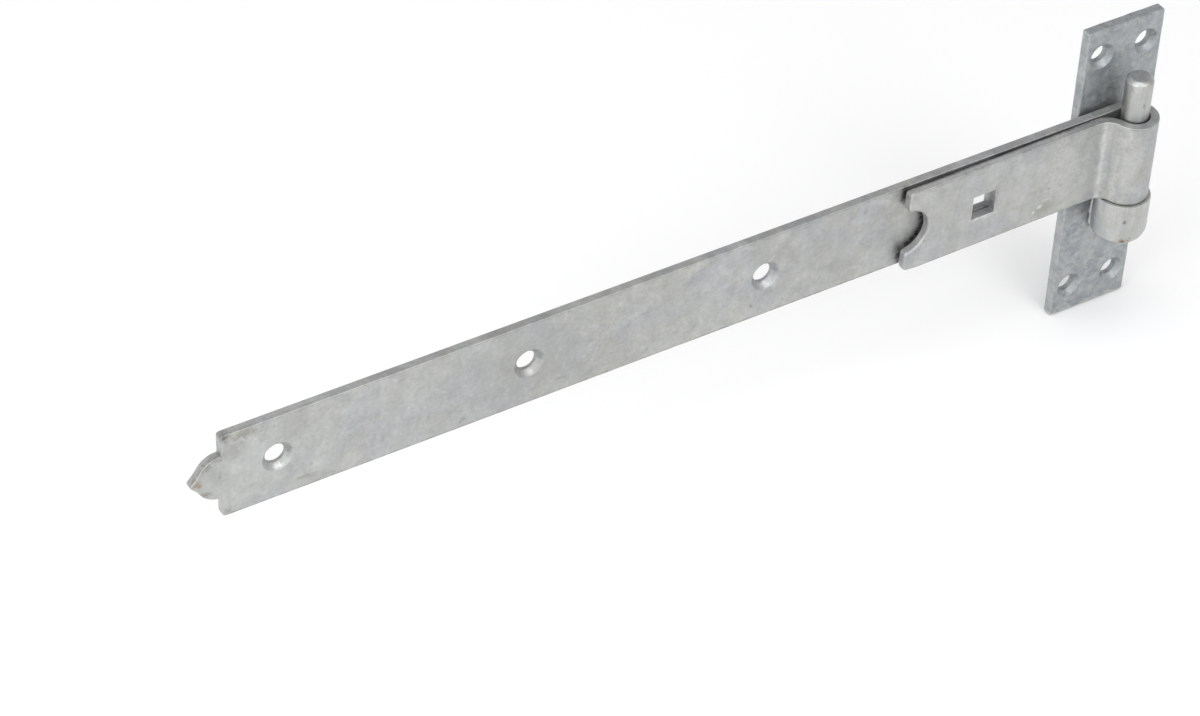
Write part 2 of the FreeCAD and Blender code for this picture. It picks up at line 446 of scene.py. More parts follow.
def zincMaterial(look, marks=()):
    material = bpy.data.materials.new(look["name"])
    material.use_nodes = True
    tree = material.node_tree
    shader = tree.nodes["Principled BSDF"]
    where = addNode(tree, "ShaderNodeTexCoord").outputs["Object"]

    def effect(group, **values):
        made = useGroup(tree, group, **values)
        join(tree, where, made.inputs["Where"])
        return made

    bloom = effect(zincBloom, Patches=look["patches"], Mottle=look["mottle"], Base=opaque(look["base"]),
                   Cool=opaque(look["cool"]), Warm=opaque(look["warm"]))
    crystals = effect(spangle, Crystals=look["crystals"], Contrast=look["crystalContrast"])
    colour = scaleColour(tree, bloom.outputs["Colour"], crystals.outputs["Tone"])
    for run in look["runs"]:
        streaks = effect(uprightRuns, Fineness=run["fineness"])
        share = math2(tree, "MULTIPLY", streaks.outputs["Mask"], run["amount"])
        colour = blendColour(tree, share, colour, run["colour"])
    for edge in look["edges"]:
        wearAndShade = effect(edgeWearAndShade, Direction=edge["direction"], Level=edge["level"] * mm,
                      Reach=edge["reach"] * mm, Amount=edge["amount"])
        colour = blendColour(tree, wearAndShade.outputs["Mask"], colour, edge["colour"])
    for stainAndPaintedLight in look["stainsAndPaintedLight"] + list(marks):
        spot = effect(raggedSpot, Centre=inMetres(stainAndPaintedLight["at"]), Spread=inMetres(stainAndPaintedLight["spread"]),
                      Amount=stainAndPaintedLight["amount"])
        colour = blendColour(tree, spot.outputs["Mask"], colour, stainAndPaintedLight["colour"])
    for speck in look["specks"]:
        spots = effect(darkSpecks, Fineness=speck["fineness"], Amount=speck["amount"])
        colour = blendColour(tree, spots.outputs["Mask"], colour, speck["colour"])
    join(tree, colour, shader.inputs["Base Color"])
    shader.inputs["Metallic"].default_value = look["metallic"]
    swing = math2(tree, "MULTIPLY", bloom.outputs["Tone"], look["roughSwing"])
    join(tree, math2(tree, "ADD", swing, look["rough"]), shader.inputs["Roughness"])
    skin = effect(zincSkin, Waves=look["waves"], Grain=look["grain"])
    bump = addNode(tree, "ShaderNodeBump")
    bump.inputs["Strength"].default_value = look["bump"]
    bump.inputs["Distance"].default_value = 0.4 * mm
    join(tree, skin.outputs["Height"], bump.inputs["Height"])
    join(tree, bump.outputs["Normal"], shader.inputs["Normal"])
    return material


print("zinc effects ready")

# band: one strip folded round the eye, tail laid back on the strap
bandSizes = {
    # bore, neck, lobe, flare, notch and corners are radii, hole and sink are widths, lean is in degrees
    "length": 450.0, "width": 40.0, "thickness": 4.0, "bottom": -4.8,
    "axisY": -17.5, "bore": 6.5, "neck": 7.0, "gap": 0.8, "lean": 0.7,
    "lobe": 10.4, "point": 3.2, "flare": 20.0, "nose": 1.8, "noseStart": 2.0, "tipCorner": 1.4,
    "tail": 114.0, "notch": 10.6, "tailCorner": 1.8,
    "tipSpare": 2.0, "tailSpare": 3.0, "skim": 0.3,  # extra strip that the cutters take off, their overlap
    "hole": 8.6, "sink": 13.6, "holes": 3, "pitch": 111.0, "firstHole": 24.0,
    "square": 11.4, "squareAt": 75.0, "squareSlack": (1.8, 1.2),  # the hole behind is wider and lower
    "softEdge": 0.45, "softHole": 0.3, "backHole": 0.12, "seamAt": 25.0,
    "gapWear": 0.9, "wearFrom": 26.0, "tipRound": 0.6, "tailRound": 1.2, "backRound": 0.5, "roundFade": 12.0,
}
bandLook = {
    "name": "bandZinc", "base": (0.452, 0.460, 0.448), "cool": (0.428, 0.438, 0.448),
    "warm": (0.448, 0.450, 0.430),
    "patches": 36.0, "mottle": 1.15, "crystals": 190.0, "crystalContrast": 0.06,
    "metallic": 0.9, "rough": 0.50, "roughSwing": 0.35, "waves": 0.7, "grain": 0.3, "bump": 0.35,
    "runs": [{"fineness": 150.0, "amount": 0.25, "colour": (0.375, 0.385, 0.378)}],
    # painted shade in the gap behind the tail's end, and darker marks along the tip's rim, in rows with
    # start, stop and step in degrees
    "gapShade": {"under": 1.2, "turns": (-65, 66, 13), "spread": (3.2, 1.2, 3.2), "amount": 0.90,
                "colour": (0.045, 0.045, 0.045), "fromSide": 4.0, "sideSpread": (3.2, 1.2, 9.0)},
    "rimDarker": {"under": 0.5, "deep": 0.5, "turns": (96, 152, 11), "spread": (3.4, 3, 3.4), "amount": 0.65,
                "colour": (0.27, 0.27, 0.25)},
    "tailTopAt": (-36.0, -66.0, -96.0),
    "tailTop": [  # measured back from the tail's front face
        # painted light on the tail's top face
        {"from": 1.7, "spread": (32.0, 2.6, 1.0), "amount": 0.65, "colour": (0.58, 0.58, 0.575)},
        # painted shade where the tail's top meets the gap
        {"from": 3.8, "spread": (32.0, 1.9, 2.0), "amount": 0.95, "colour": (0.09, 0.09, 0.095)},
    ],
    "sinkDeep": 1.0,
    "sinkMarks": [  # painted shade and painted highlight beside a screw hole's middle, with an amount for each hole
        {"from": (5.3, 0.6), "spread": (2.4, 3, 4.6), "amount": (0.75, 0.50, 0.70),
         "colour": (0.20, 0.215, 0.24)},
        {"from": (0.6, -5.2), "spread": (4.4, 3, 1.9), "amount": (0.90, 0.40, 0.45),
         "colour": (0.74, 0.745, 0.74)},
    ],
    "edges": [
        # darker broken line along the top edge: dents and dirt, with painted shade that holds down the
        # bevel's highlight
        {"direction": (0, 0, 1), "level": 34.7, "reach": 1.1, "amount": 0.50, "colour": (0.25, 0.255, 0.26)},
        {"direction": (0, 0, 1), "level": -4.3, "reach": 1.3, "amount": 0.60, "colour": (0.24, 0.24, 0.22)},
    ],
    "specks": [{"fineness": 520.0, "amount": 0.45, "colour": (0.22, 0.22, 0.20)}],
    "stainsAndPaintedLight": [
        # painted light on the eye, and along the neck's bend painted highlights with painted shade between
        # them
        stainAndPaintedLightAt((-7.0, -26, 15.0), (11.0, 9, 30.0), 0.28, (0.66, 0.67, 0.645)),
        stainAndPaintedLightAt((-13.9, -16.6, 15.0), (2.0, 3.0, 60.0), 0.50, (0.72, 0.725, 0.71)),
        stainAndPaintedLightAt((-11.2, -18.5, 15.0), (1.3, 1.9, 60.0), 0.42, (0.29, 0.295, 0.29)),
        stainAndPaintedLightAt((-10.1, -21.2, 15.0), (1.7, 3.6, 60.0), 0.50, (0.70, 0.705, 0.69)),
        # painted light by the neck where the eye shades the tail, over the tail and near the tip, painted
        # shade along the middle of the strap, and a dark smudge below the middle hole
        stainAndPaintedLightAt((-33.0, -16.0, 15.0), (18.0, 4, 34.0), 0.45, (0.62, 0.625, 0.60)),
        stainAndPaintedLightAt((-66.0, -16, 16.0), (56.0, 4, 30.0), 0.35, (0.56, 0.565, 0.54)),
        stainAndPaintedLightAt((-412.0, -11, 14.0), (22.0, 5, 20.0), 0.30, (0.52, 0.53, 0.51)),
        stainAndPaintedLightAt((-228.0, -11, 14.0), (46.0, 5, 24.0), 0.25, (0.355, 0.365, 0.36)),
        stainAndPaintedLightAt((-146.0, -11, 16.0), (30.0, 5, 24.0), 0.30, (0.36, 0.37, 0.355)),
        stainAndPaintedLightAt((-287.0, -11, 14.0), (80.0, 5, 50.0), 0.55, (0.345, 0.350, 0.330)),
        stainAndPaintedLightAt((-296.0, -11, 5.0), (16.0, 5, 10.0), 0.35, (0.33, 0.335, 0.33)),
        # painted light on the top edge near the tip, and dirt at the tip
        stainAndPaintedLightAt((-396.0, -8.4, 35.2), (54.0, 3.6, 1.8), 0.60, (0.62, 0.625, 0.635)),
        stainAndPaintedLightAt((-421.0, -11, 26.0), (9.0, 4, 11.0), 0.35, (0.31, 0.31, 0.285)),
        stainAndPaintedLightAt((-424.4, -11, 34.0), (4.0, 5, 3.4), 0.85, (0.13, 0.12, 0.10)),
        stainAndPaintedLightAt((-416.0, -11, 32.8), (14.0, 4, 5.0), 0.65, (0.25, 0.23, 0.18)),
        stainAndPaintedLightAt((-437.0, -10, 18.6), (2.4, 4, 2.4), 0.65, (0.25, 0.24, 0.22)),
        stainAndPaintedLightAt((-436.0, -11, 16.0), (3.4, 4, 4.4), 0.85, (0.24, 0.16, 0.09)),
        stainAndPaintedLightAt((-433.0, -11, 9.5), (4.5, 4, 3.2), 0.70, (0.20, 0.18, 0.14)),
        stainAndPaintedLightAt((-431.5, -11, 22.0), (4.0, 4, 2.6), 0.55, (0.22, 0.21, 0.18)),
        stainAndPaintedLightAt((-426.5, -11, 16.2), (1.6, 4, 4.6), 0.50, (0.24, 0.23, 0.21)),
        stainAndPaintedLightAt((-423.5, -11, -2.5), (4.0, 4, 3.0), 0.55, (0.24, 0.23, 0.20)),
        # pits along the strap
        stainAndPaintedLightAt((-391.0, -11, 0.4), (9.0, 4, 1.6), 0.50, (0.25, 0.24, 0.20)),
        stainAndPaintedLightAt((-321.3, -11, -0.9), (4.0, 4, 2.4), 0.60, (0.23, 0.23, 0.21)),
        stainAndPaintedLightAt((-277.0, -11, 2.0), (7.0, 4, 1.8), 0.45, (0.25, 0.25, 0.24)),
        stainAndPaintedLightAt((-276.4, -11, 27.3), (3.0, 4, 3.0), 0.35, (0.27, 0.28, 0.28)),
        stainAndPaintedLightAt((-235.7, -11, -0.2), (1.6, 4, 3.2), 0.55, (0.24, 0.24, 0.22)),
        stainAndPaintedLightAt((-186.2, -11, 2.2), (1.5, 4, 1.5), 0.80, (0.15, 0.15, 0.14)),
        # square hole: a dark brown right wall, painted shade on the strap's wall low in the hole, and a
        # painted highlight on the tail's lower lip
        stainAndPaintedLightAt((-68.6, -13.5, 17.0), (2.6, 8, 14.0), 0.70, (0.21, 0.20, 0.17)),
        stainAndPaintedLightAt((-75.0, -9.0, 8.4), (16.0, 4.2, 2.6), 0.70, (0.20, 0.20, 0.185)),
        stainAndPaintedLightAt((-75.0, -16.6, 9.0), (14.0, 1.6, 1.6), 0.55, (0.74, 0.74, 0.72)),
        # rubbed marks low on the tail, and a pit on the eye
        stainAndPaintedLightAt((-41.5, -16, 1.0), (12.0, 4, 7.0), 0.75, (0.335, 0.325, 0.295)),
        stainAndPaintedLightAt((-40.5, -16, 4.8), (4.6, 4, 1.4), 0.60, (0.72, 0.72, 0.69)),
        stainAndPaintedLightAt((-44.5, -16, 2.3), (3.0, 4, 1.8), 0.70, (0.72, 0.72, 0.69)),
        stainAndPaintedLightAt((-47.6, -16, 0.5), (1.6, 4, 2.0), 0.70, (0.72, 0.72, 0.69)),
        stainAndPaintedLightAt((-37.4, -16, 4.9), (1.3, 4, 1.6), 0.65, (0.24, 0.235, 0.22)),
        stainAndPaintedLightAt((-10.0, -25, 18.4), (2.0, 4, 3.0), 0.50, (0.24, 0.25, 0.24)),
    ],
}


def foldPlaces(s):
    outer = s["bore"] + s["thickness"]
    back = s["axisY"] + outer
    front = back - s["thickness"]
    tailFront = front - s["gap"] - s["thickness"]
    bendY = tailFront - s["neck"]
    tipX = outer - s["length"]
    return {
        "outer": outer, "back": back, "front": front, "tailBack": front - s["gap"], "tailFront": tailFront,
        "bendX": -math.sqrt((outer + s["neck"]) ** 2 - (bendY - s["axisY"]) ** 2), "bendY": bendY,
        "low": s["bottom"], "high": s["bottom"] + s["width"], "mid": s["bottom"] + s["width"] / 2,
        "tipX": tipX, "shoulder": tipX + s["lobe"] + s["point"], "lean": math.radians(s["lean"]),
    }


def tailFaceAt(f, x):
    # the tail leans off the strap, so its front face comes forward towards its end
    return f["tailFront"] - (f["bendX"] - x) * math.tan(f["lean"])


def foldedOutline(s, f):
    # the strip seen from above, a little too long at both ends
    axis, bend = (0.0, s["axisY"]), (f["bendX"], f["bendY"])
    tipEnd, tailEnd = f["tipX"] - s["tipSpare"], -s["tail"] - s["tailSpare"]
    eyeEnd = math.atan2(f["bendY"] - s["axisY"], f["bendX"])
    bendEnd = math.pi / 2 + f["lean"]
    hollow = arcPoints(bend, s["neck"], eyeEnd + math.pi, bendEnd, 16)
    ridge = arcPoints(bend, s["neck"] + s["thickness"], bendEnd, eyeEnd + math.pi, 18)
    outline = [(tipEnd, f["back"])]
    outline += arcPoints(axis, f["outer"], math.pi / 2, eyeEnd, 84)
    outline += hollow[1:]
    outline += [(tailEnd, y - (x - tailEnd) * math.tan(f["lean"])) for x, y in (hollow[-1], ridge[0])]
    outline += ridge
    outline += arcPoints(axis, s["bore"], eyeEnd, math.pi / 2, 72)[1:]
    outline += [(tipEnd, f["front"])]
    return outline


def tipOutline(s, f, inset):
    # lobe and flares keep their middles while the outline is set in, so they still run into each other
    mid, shoulder, corner, edge = f["mid"], f["shoulder"], s["tipCorner"], f["low"] - s["skim"]
    pastEye = f["outer"] + s["tailSpare"]
    reach, far = s["lobe"] + s["point"], s["lobe"] + s["flare"]
    angle = math.acos((far ** 2 + reach ** 2 - s["flare"] ** 2) / (2 * far * reach))
    flareAt = (shoulder - far * math.cos(angle), mid - far * math.sin(angle))
    lobe, flare = s["lobe"] - inset, s["flare"] + inset
    tip = (flareAt[0] + math.sqrt(flare ** 2 - (mid - flareAt[1]) ** 2), mid)
    towardTip = math.atan2(mid - flareAt[1], tip[0] - flareAt[0])
    lower = [(pastEye, edge), (shoulder + corner + s["roundFade"], edge)]
    lower += arcPoints((shoulder + corner, f["low"] + corner), corner - inset, 1.5 * math.pi, math.pi, 6)
    lower += arcPoints((shoulder, mid), lobe, 1.5 * math.pi + math.asin(inset / lobe), math.pi + angle, 18)
    lower += arcPoints(flareAt, flare, angle, towardTip - s["noseStart"] / flare, 8)[1:]
    upper = [(x, 2 * mid - z) for x, z in reversed(lower)]
    return lower + roundedPoint(lower[-1], tip, upper[0], s["nose"], 6) + upper


def tailCutter(s, f, inset):
    # what goes past the tail's end: its corners, and the notch with a rounded mouth
    low, mid = f["low"], f["mid"]
    end, corner, notch = -s["tail"], s["tailCorner"], s["notch"]
    beyond, past = 2 * s["tailSpare"], 2.0
    mouth = math.sqrt((notch + corner) ** 2 - corner ** 2)
    turn = math.atan2(mouth, corner)
    half = [(end + corner + s["roundFade"], low - s["skim"])]
    half += arcPoints((end + corner, low + corner), corner - inset, 1.5 * math.pi, math.pi, 6)
    half += arcPoints((end + corner, mid - mouth), corner - inset, math.pi, math.pi - turn, 6)
    half += arcPoints((end, mid), notch + inset, -turn, 0.0, 20)
    upper = [(x, 2 * mid - z) for x, z in reversed(half)][1:]
    return half + upper + [(end - beyond, f["high"] + past), (end - beyond, low - past)]


def wornEnds(band, s, f):
    # tip and tail cut to shape, with their edges worn round
    past, overEye = 2.0, 2 * f["outer"] + 1.0
    rings = []
    for depth, inset in roundedRim(s["thickness"], s["tipRound"], s["backRound"], overEye, past):
        rings.append([(x, f["front"] + depth, z) for x, z in tipOutline(s, f, inset)])
    carve(band, loft("tip", rings), "INTERSECT")
    rings = []
    for depth, inset in roundedRim(s["thickness"], s["tailRound"], s["backRound"], past, s["gap"]):
        rings.append([(x, tailFaceAt(f, x) + depth, z) for x, z in tailCutter(s, f, inset)])
    carve(band, loft("tailEnd", rings), "DIFFERENCE")
    speck = 0.004  # slivers left by the cuts
    bm = bmesh.new()
    bm.from_mesh(band.data)
    bmesh.ops.remove_doubles(bm, verts=bm.verts, dist=speck)
    bmesh.ops.dissolve_degenerate(bm, edges=bm.edges, dist=speck)
    bm.to_mesh(band.data)
    bm.free()


def wearGap(band, s, f):
    # the tail's back edges along the gap are worn rounder
    nearest, farthest = f["tailBack"] - 3.0, f["tailBack"] + 0.2  # holds the leaning back face
    for vert in band.data.vertices:
        rise = abs(vert.co.z - f["mid"]) - s["width"] / 2 + s["softEdge"]
        if rise > 0 and vert.co.x < -s["wearFrom"] and nearest < vert.co.y < farthest:
            vert.co.y -= s["gapWear"] * rise / s["softEdge"]


def spotsAlong(middle, radius, y, dirt):
    # marks in a row along an arc
    spots = []
    for degrees in range(*dirt["turns"]):
        turn = math.radians(degrees)
        at = (middle[0] + radius * math.cos(turn), y, middle[1] + radius * math.sin(turn))
        spots.append(stainAndPaintedLightAt(at, dirt["spread"], dirt["amount"], dirt["colour"]))
    return spots


def bandMarks(s, f, places):
    # painted light and shade, and darker marks, that follow the band's own edges and holes
    front, mid, end = f["front"], f["mid"], -s["tail"]
    gap, rim = bandLook["gapShade"], bandLook["rimDarker"]
    marks = spotsAlong((end, mid), s["notch"] + gap["under"], front, gap)
    for side in (-1, 1):  # painted shade in the gap beside the notch
        at = (end + gap["under"], front, mid + side * (s["width"] / 2 - gap["fromSide"]))
        marks.append(stainAndPaintedLightAt(at, gap["sideSpread"], gap["amount"], gap["colour"]))
    for mark in bandLook["tailTop"]:  # painted light on the tail's top, painted shade where it meets the gap
        for x in bandLook["tailTopAt"]:
            at = (x, tailFaceAt(f, x) + mark["from"], f["high"])
            marks.append(stainAndPaintedLightAt(at, mark["spread"], mark["amount"], mark["colour"]))
    # darker along the tip's rim
    marks += spotsAlong((f["shoulder"], mid), s["lobe"] - rim["under"], front + rim["deep"], rim)
    # painted shade and painted highlight beside each countersink
    for mark in bandLook["sinkMarks"]:
        for x, amount in zip(places, mark["amount"]):
            at = (x + mark["from"][0], front + bandLook["sinkDeep"], mid + mark["from"][1])
            marks.append(stainAndPaintedLightAt(at, mark["spread"], amount, mark["colour"]))
    return marks


def squareCorners(s, f, slackX, slackZ):
    half = s["square"] / 2
    left, right = -s["squareAt"] - half, -s["squareAt"] + half + slackX
    foot, head = f["mid"] - half - slackZ, f["mid"] + half
    return [(left, foot), (right, foot), (right, head), (left, head)]


def buildBand():
    s = bandSizes
    f = foldPlaces(s)
    front, back, mid = f["front"], f["back"], f["mid"]
    band = prism("band_strip", foldedOutline(s, f), f["low"], f["high"], True)
    past, between = 4.0, front - s["gap"] / 2
    square, wider = squareCorners(s, f, 0.0, 0.0), squareCorners(s, f, *s["squareSlack"])
    carve(band, prism("square", square, f["tailFront"] - past, between, False), "DIFFERENCE")
    carve(band, prism("squareBehind", wider, between, back + past, False), "DIFFERENCE")
    places = [f["shoulder"] + s["firstHole"] + i * s["pitch"] for i in range(s["holes"])]
    bm = bmesh.new()
    for x in places:
        screwHole(bm, x, mid, front, back, s["hole"], s["sink"])
    carve(band, objectFrom(bm, "drills"), "DIFFERENCE")
    (left, foot), (right, head) = wider[0], wider[2]
    near = 0.5

    def share(p):
        if left - near < p.x < right + near and foot - near < p.z < head + near:
            return s["softHole"] / s["softEdge"]
        for x in places:
            if math.hypot(p.x - x, p.z - mid) < s["sink"] / 2 + near:
                return (s["backHole"] if p.y > back - near else s["softHole"]) / s["softEdge"]
        return 1.0

    softenEdges(band, s["softEdge"], share, places + [-s["squareAt"], -s["seamAt"]])
    wearGap(band, s, f)
    wornEnds(band, s, f)
    finishPiece(band, "band", "band", zincMaterial(bandLook, bandMarks(s, f, places)))


buildBand()

# plate: flat bar with a slightly uneven dipped edge and four countersunk holes
plateSizes = {
    "width": 40.0, "height": 150.0, "thickness": 5.0, "corner": 1.0,
    "hole": 7.5, "sink": 12.2, "across": 23.0, "up": 122.0, "softEdge": 0.8, "softHole": 0.35,
    "unevenness": 0.35, "edgeStep": 2.5, "edgeWave": 0.13, "dipShare": (0.02, 0.01), "seed": 11,
}
plateLook = {
    "name": "plateZinc", "base": (0.385, 0.402, 0.415), "cool": (0.338, 0.360, 0.378),
    "warm": (0.415, 0.424, 0.422),
    "patches": 110.0, "mottle": 1.1, "crystals": 300.0, "crystalContrast": 0.18,
    "metallic": 0.88, "rough": 0.52, "roughSwing": 0.4, "waves": 0.9, "grain": 0.5, "bump": 0.5, "runs": [],
    # painted highlight in each countersink
    "sinks": {"deep": 1.5, "spread": (6.4, 6.4, 6.4), "amount": 0.55, "colour": (0.60, 0.61, 0.61)},
    "edges": [
        {"direction": (0, 0, 1), "level": -74.2, "reach": 2.6, "amount": 0.80, "colour": (0.62, 0.62, 0.58)},
        {"direction": (1, 0, 0), "level": -19.7, "reach": 0.9, "amount": 0.45, "colour": (0.56, 0.57, 0.54)},
        {"direction": (1, 0, 0), "level": 19.7, "reach": 0.9, "amount": 0.35, "colour": (0.56, 0.57, 0.55)},
        {"direction": (0, 0, 1), "level": 74.4, "reach": 1.0, "amount": 0.40, "colour": (0.24, 0.25, 0.26)},
    ],
    "specks": [{"fineness": 430.0, "amount": 0.50, "colour": (0.58, 0.60, 0.60)},
               {"fineness": 640.0, "amount": 0.55, "colour": (0.17, 0.18, 0.19)}],
    "stainsAndPaintedLight": [
        stainAndPaintedLightAt((-13.0, -5, -15.0), (4.0, 4, 8.0), 0.50, (0.22, 0.24, 0.24)),
        stainAndPaintedLightAt((0.5, -5, -31.0), (6.0, 4, 4.0), 0.55, (0.42, 0.42, 0.30)),
        stainAndPaintedLightAt((-5.0, -5, -40.0), (8.0, 4, 8.0), 0.40, (0.50, 0.52, 0.49)),
        stainAndPaintedLightAt((-18.0, -5, -70.5), (3.0, 4, 3.0), 0.60, (0.26, 0.24, 0.18)),
        stainAndPaintedLightAt((3.0, -5, -53.0), (2.0, 4, 2.4), 0.55, (0.20, 0.21, 0.22)),
    ],
}


def plateOutline(s):
    w, h, c = s["width"] / 2, s["height"] / 2, s["corner"]
    corners = []
    for cx, cz, start in ((w - c, -h + c, -math.pi / 2), (w - c, h - c, 0.0),
                          (-w + c, h - c, math.pi / 2), (-w + c, -h + c, math.pi)):
        corners.append(arcPoints((cx, cz), c, start, start + math.pi / 2, 5))
    points = []
    for i in range(4):
        points += corners[i]
        a, b = Vector(corners[i][-1]), Vector(corners[(i + 1) % 4][0])
        count = max(2, int((b - a).length / s["edgeStep"]))
        points += [tuple(a.lerp(b, k / count)) for k in range(1, count)]
    wave, (shareX, shareZ) = s["edgeWave"], s["dipShare"]
    uneven = []
    for x, z in points:
        dip = s["unevenness"] * (0.5 + 0.5 * noise.noise(Vector((x * wave, z * wave, s["seed"]))))
        inX, inZ = min(dip, abs(x) * shareX), min(dip, abs(z) * shareZ)
        uneven.append((x - math.copysign(inX, x), z - math.copysign(inZ, z)))
    return uneven


def buildPlate():
    s = plateSizes
    front, back, near = -s["thickness"], 0.0, 0.5
    plate = prism("post_plate", plateOutline(s), front, back, False)
    bm = bmesh.new()
    places = [(i * s["across"] / 2, k * s["up"] / 2) for i in (-1, 1) for k in (-1, 1)]
    for x, z in places:
        screwHole(bm, x, z, front, back, s["hole"], s["sink"])
    carve(plate, objectFrom(bm, "drills"), "DIFFERENCE")

    def share(p):
        for x, z in places:
            if math.hypot(p.x - x, p.z - z) < s["sink"] / 2 + near:
                return s["softHole"] / s["softEdge"]
        return 1.0

    softenEdges(plate, s["softEdge"], share, [-s["across"] / 2, s["across"] / 2])
    sinkHighlight = plateLook["sinks"]  # painted highlight in the countersinks
    marks = []
    for x, z in places:
        at = (x, front + sinkHighlight["deep"], z)
        marks.append(stainAndPaintedLightAt(at, sinkHighlight["spread"], sinkHighlight["amount"], sinkHighlight["colour"]))
    finishPiece(plate, "hook", "plate", zincMaterial(plateLook, marks))


buildPlate()

# hook pin: pin and boss turned in one, welded to the plate
pinSizes = {
    "axisY": -17.5, "pin": 12.0, "pinTop": 55.0, "topChamfer": 1.6, "unevenness": 0.09,
    "boss": 24.0, "shoulder": -5.0, "bossFoot": -26.0, "footReach": 6.5, "footChamfer": 2.4, "footLump": 0.3,
    "footFacet": 1.7, "facetAt": -0.9, "facetWidth": 0.42,  # place and width are angles in radians
    "plateFront": -5.0, "sunk": 0.5, "bead": 2.0, "beadAt": 5.4, "beadTop": 3.6, "stray": 0.3, "melt": 0.4,
    "seed": 5,
    # rows of weld lumps: how far out from the plate they sit and their share of the bead's radius
    "sideRow": {"count": 13, "out": 1.0, "share": (0.8, 1.05), "up": 1.0},
    "footRow": {"count": 10, "out": 1.1, "share": (0.95, 1.25), "down": 0.4, "sag": 1.2},
    "fillRow": {"count": 7, "out": 3.0, "share": (0.75, 0.95), "up": 0.7, "from": -4.2, "step": 1.4},
    "squash": (1.0, 0.85, 1.15),
    "drops": [(-4.5, -5.4, -29.4, 1.5), (4.2, -5.6, -31.3, 1.9), (0.6, -5.3, -30.8, 1.4)],  # place and radius
}
pinLook = {
    "name": "pinZinc", "base": (0.50, 0.507, 0.495), "cool": (0.455, 0.468, 0.48),
    "warm": (0.50, 0.498, 0.465), "patches": 60.0, "mottle": 0.7, "crystals": 220.0, "crystalContrast": 0.08,
    "metallic": 0.9, "rough": 0.36, "roughSwing": 0.3, "waves": 0.7, "grain": 0.4, "bump": 0.4,
    "runs": [{"fineness": 330.0, "amount": 0.55, "colour": (0.36, 0.372, 0.37)}],
    "edges": [
        # painted shade round the root of the pin, on the boss's top
        {"direction": (0, 0, 1), "level": -4.6, "reach": 0.7, "amount": 0.5, "colour": (0.18, 0.19, 0.19)},
    ],
    "specks": [{"fineness": 460.0, "amount": 0.5, "colour": (0.20, 0.20, 0.19)}],
    "stainsAndPaintedLight": [
        stainAndPaintedLightAt((-5.5, -27.6, -22.8), (6.0, 6, 4.5), 0.50, (0.42, 0.37, 0.29)),
        stainAndPaintedLightAt((-5.9, -27.9, -23.4), (2.4, 4, 2.4), 0.95, (0.15, 0.085, 0.04)),
        stainAndPaintedLightAt((-5.9, -27.9, -13.0), (1.1, 4, 2.0), 0.90, (0.14, 0.14, 0.13)),
        # dark stripe down the pin's front: mostly a painted reflection, partly a dark rough zinc run
        stainAndPaintedLightAt((-0.6, -23.4, 30.0), (1.2, 3, 34.0), 0.55, (0.27, 0.275, 0.275)),
        stainAndPaintedLightAt((-1.0, -23.4, 44.0), (0.9, 3, 3.2), 0.70, (0.16, 0.16, 0.15)),
        stainAndPaintedLightAt((0.0, -8.0, -29.0), (7.0, 5, 3.0), 0.45, (0.40, 0.39, 0.26)),
    ],
}


def footShape(s, angle):
    # height of the bevel round the boss's foot, uneven and with one ground facet
    lump = noise.noise(Vector((math.cos(angle) * 1.4, math.sin(angle) * 1.4, s["seed"])))
    turn = (angle - s["facetAt"] + math.pi) % (2 * math.pi) - math.pi
    facet = s["footFacet"] * math.exp(-(turn / s["facetWidth"]) ** 2)
    return s["footChamfer"] * (1 + s["footLump"] * lump) + facet


def pinProfile(s):
    # radius and height from the boss's foot up to the pin's top
    pin, boss = s["pin"] / 2, s["boss"] / 2
    low, top, end, c = s["bossFoot"], s["shoulder"], s["pinTop"], s["topChamfer"]
    profile = [(boss, low + s["footReach"] * (i / 18) ** 1.2) for i in range(19)]
    profile += [(boss, top - 8), (boss, top - 1.0), (boss - 0.25, top - 0.3), (boss - 0.9, top)]
    profile += [(pin + 0.6, top), (pin + 0.12, top + 0.15), (pin, top + 0.7)]  # hollow at the pin's root
    profile += [(pin, top + 0.7 + (end - c - 1.2 - top) * i / 14) for i in range(1, 15)]
    profile += [(pin - 0.05, end - c), (pin - 0.3, end - c * 0.7), (pin - c * 0.7, end - 0.3)]
    profile += [(pin - c - 0.1, end - 0.05), (pin - c - 0.6, end)]
    return profile


def turnedPin(bm, s):
    low, steps = s["bossFoot"], 120
    rings = []
    for radius, z in pinProfile(s):
        ring = []
        for i in range(steps):
            angle = 2 * math.pi * i / steps - math.pi
            wave = noise.noise(Vector((math.cos(angle) * 2.2, math.sin(angle) * 2.2, z * 0.06 + s["seed"])))
            r = radius - s["unevenness"] * (0.5 + 0.5 * wave)
            if z <= low + s["footReach"]:
                bite = footShape(s, angle) - (z - low)
                r -= 0.5 * (bite + math.sqrt(bite * bite + 0.12))  # the bevel runs softly into the boss
            ring.append((r * math.cos(angle), s["axisY"] + r * math.sin(angle), z))
        rings.append(ring)
    skinRings(bm, rings)


